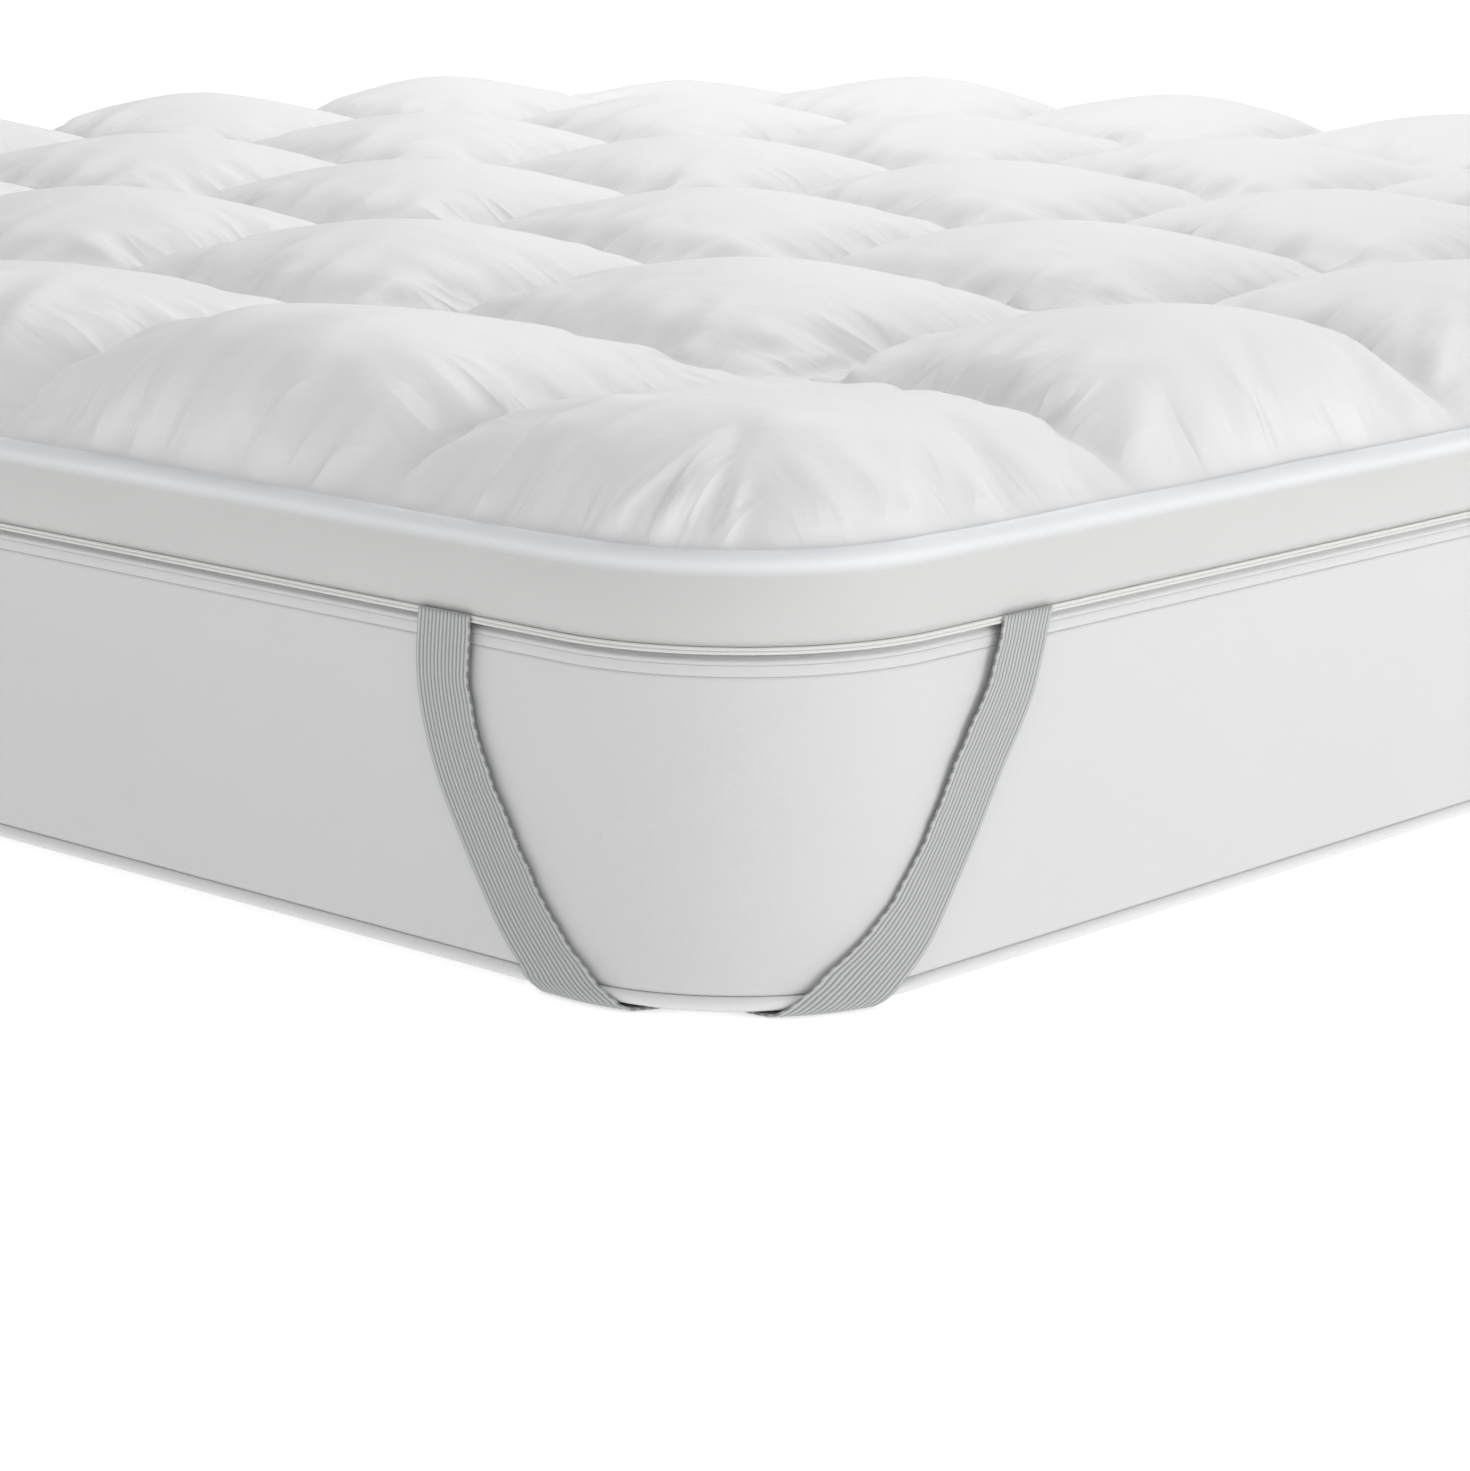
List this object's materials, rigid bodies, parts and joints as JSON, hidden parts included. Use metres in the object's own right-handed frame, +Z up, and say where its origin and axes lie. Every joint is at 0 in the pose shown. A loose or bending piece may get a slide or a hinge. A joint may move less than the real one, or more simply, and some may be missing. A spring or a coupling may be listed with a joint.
{
  "type": "mattress topper on a mattress",
  "caption": "Box-quilted mattress topper with crowned pillows, a rolled border and corner elastics, fitted over a plain mattress with rounded corners.",
  "frame": {"origin": "On the surface that the mattress lies on, under the middle of the bed", "axes": "X across the bed, Y along the bed, Z up"},
  "size_m": [1.9488, 2.0488, 0.332],
  "materials": {
    "quilt_cotton": "satin",
    "border_cotton": "matte",
    "binding_cotton": "matte",
    "elastic": "matte",
    "mattress_cover": "matte",
    "mattress_tape": "satin"
  },
  "bodies": {
    "root": {"quilted_pad": "quilt_cotton", "border_band": "border_cotton", "lower_binding": "binding_cotton", "mattress_body": "mattress_cover", "mattress_top_tape": "mattress_tape", "mattress_bottom_tape": "mattress_tape", "elastic_near_right": "elastic", "elastic_far_right": "elastic", "elastic_far_left": "elastic", "elastic_near_left": "elastic"}
  },
  "joints": []
}
